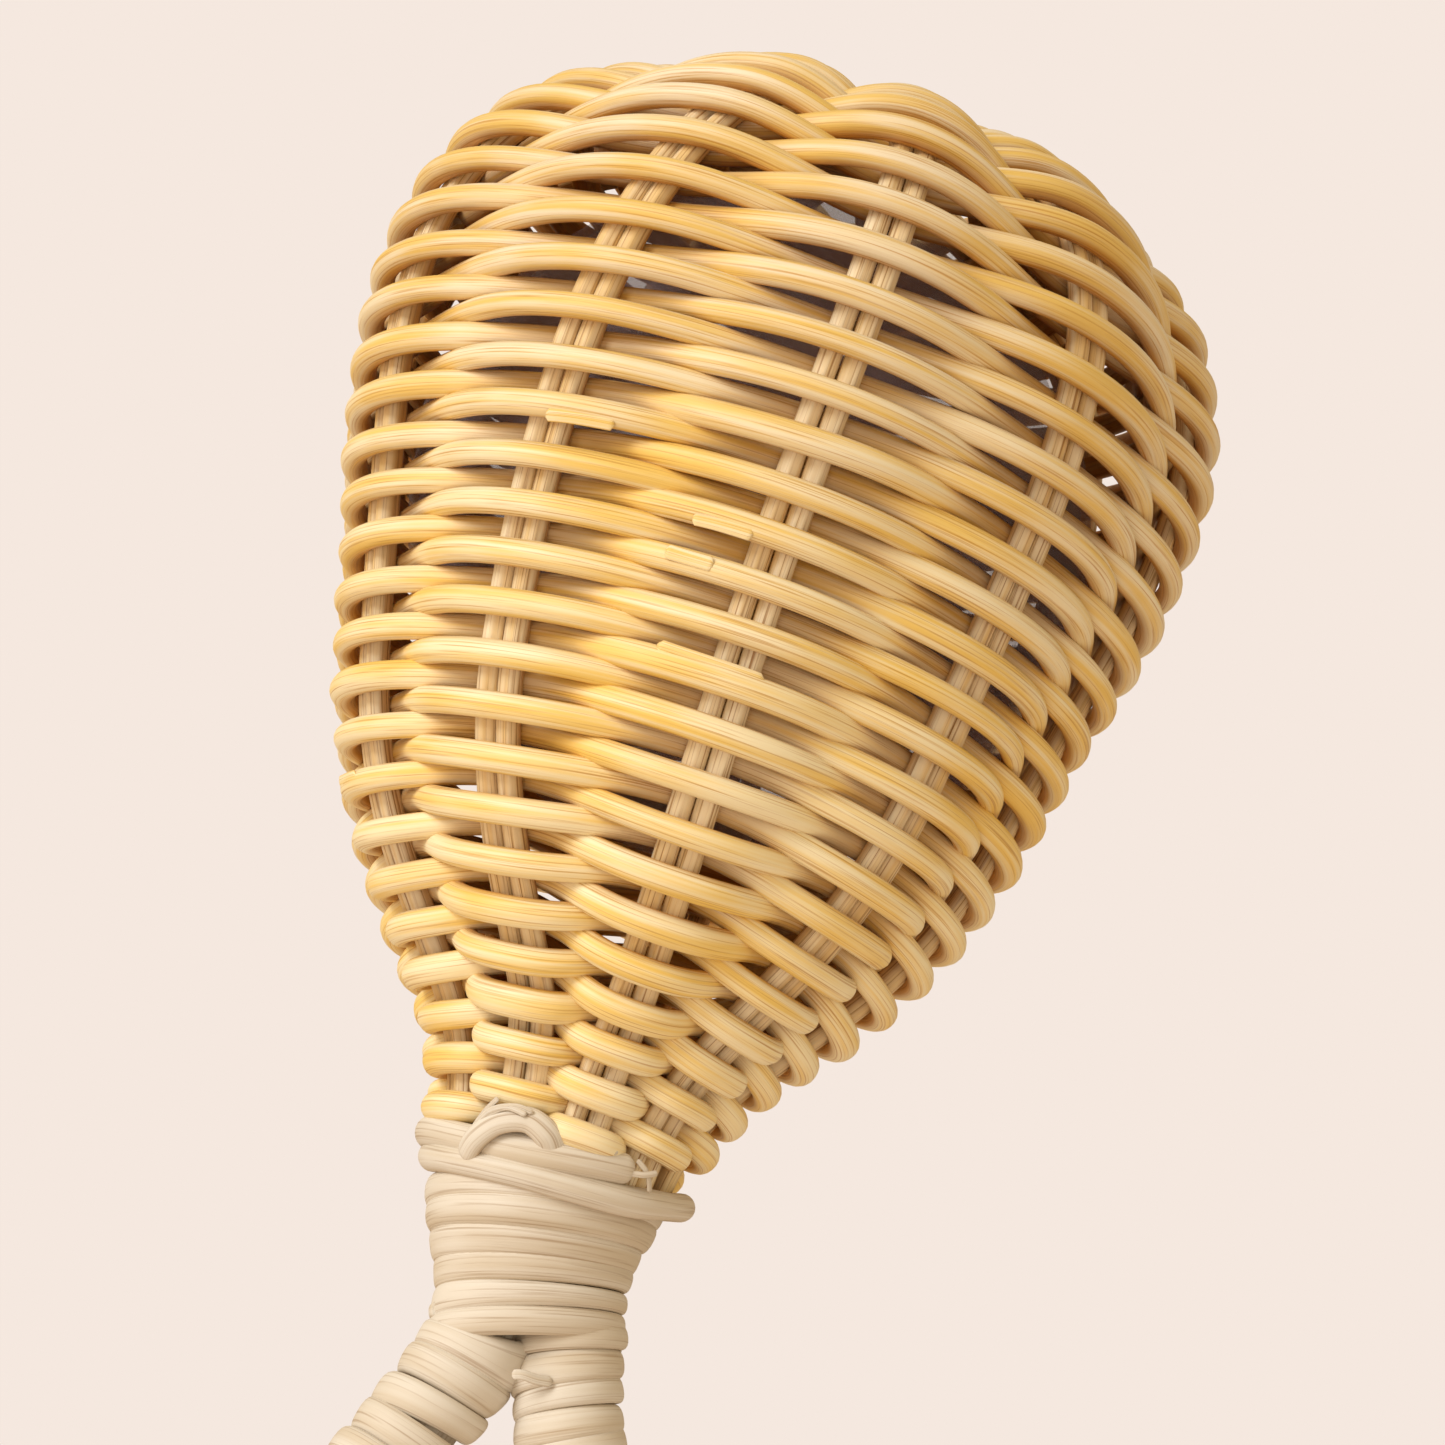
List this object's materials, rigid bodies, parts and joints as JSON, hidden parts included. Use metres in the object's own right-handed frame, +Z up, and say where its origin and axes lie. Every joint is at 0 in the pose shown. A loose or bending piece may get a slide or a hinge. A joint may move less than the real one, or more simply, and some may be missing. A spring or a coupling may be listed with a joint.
{
  "type": "hand rattle",
  "caption": "Woven round-reed hand rattle: pear-shaped head over paired rods, bound neck, bound loop to hold, and a clear capsule with loose beads inside.",
  "frame": {"origin": "middle of the loop handle's round end, on its centre line plane", "axes": "+Z up from the loop through the neck to the crown, the loop lies in the XZ plane, +Y towards the back"},
  "size_m": [0.0702, 0.0707, 0.181],
  "materials": {
    "stake_rod": "bare rattan core, pale cream with fine grooves along it",
    "woven_reed": "bare round rattan reed, honey yellow with a dull sheen",
    "binding_strip": "bleached rattan strip, pale beige",
    "core_cane": "bare rattan",
    "clear_plastic": "clear thin moulded plastic",
    "bead_plastic": "smooth"
  },
  "bodies": {
    "root": {"binding_tail": "binding_strip", "collar_strands": "binding_strip", "crown_rods_over": "stake_rod", "crown_rods_under": "stake_rod", "grip_binding": "binding_strip", "handle_core_left": "core_cane", "handle_core_right": "core_cane", "leg_binding_left": "binding_strip", "leg_binding_right": "binding_strip", "neck_binding": "binding_strip", "stake_pair_1": "stake_rod", "stake_pair_2": "stake_rod", "stake_pair_3": "stake_rod", "stake_pair_4": "stake_rod", "stake_pair_5": "stake_rod", "stake_pair_6": "stake_rod", "stake_pair_7": "stake_rod", "stake_pair_8": "stake_rod", "stake_pair_9": "stake_rod", "weaver_1": "woven_reed", "weaver_2": "woven_reed", "weaver_3": "woven_reed", "weaver_4": "woven_reed", "weaver_5": "woven_reed", "weaver_6": "woven_reed", "weaver_7": "woven_reed"},
    "capsule": {"capsule_lower_half": "clear_plastic", "capsule_upper_half": "clear_plastic", "capsule_rim": "clear_plastic"},
    "bead_1": {"bead_1": "bead_plastic"},
    "bead_2": {"bead_2": "bead_plastic"},
    "bead_3": {"bead_3": "bead_plastic"},
    "bead_4": {"bead_4": "bead_plastic"},
    "bead_5": {"bead_5": "bead_plastic"},
    "bead_6": {"bead_6": "bead_plastic"},
    "bead_7": {"bead_7": "bead_plastic"}
  },
  "joints": [
    {"name": "capsule_rattle", "type": "slide", "parent": "root", "child": "capsule", "axis": [0, 0, 1], "range_m": [0, 0.003]},
    {"name": "bead_1_flight", "type": "slide", "parent": "capsule", "child": "bead_1", "axis": [0, 0, 1], "range_m": [0, 0.04871]},
    {"name": "bead_2_flight", "type": "slide", "parent": "capsule", "child": "bead_2", "axis": [0, 0, 1], "range_m": [0, 0.0475]},
    {"name": "bead_3_flight", "type": "slide", "parent": "capsule", "child": "bead_3", "axis": [0, 0, 1], "range_m": [0, 0.0475]},
    {"name": "bead_4_flight", "type": "slide", "parent": "capsule", "child": "bead_4", "axis": [0, 0, 1], "range_m": [0, 0.0475]},
    {"name": "bead_5_flight", "type": "slide", "parent": "capsule", "child": "bead_5", "axis": [0, 0, 1], "range_m": [0, 0.0475]},
    {"name": "bead_6_flight", "type": "slide", "parent": "capsule", "child": "bead_6", "axis": [0, 0, 1], "range_m": [0, 0.0475]},
    {"name": "bead_7_flight", "type": "slide", "parent": "capsule", "child": "bead_7", "axis": [0, 0, 1], "range_m": [0, 0.0475]}
  ]
}
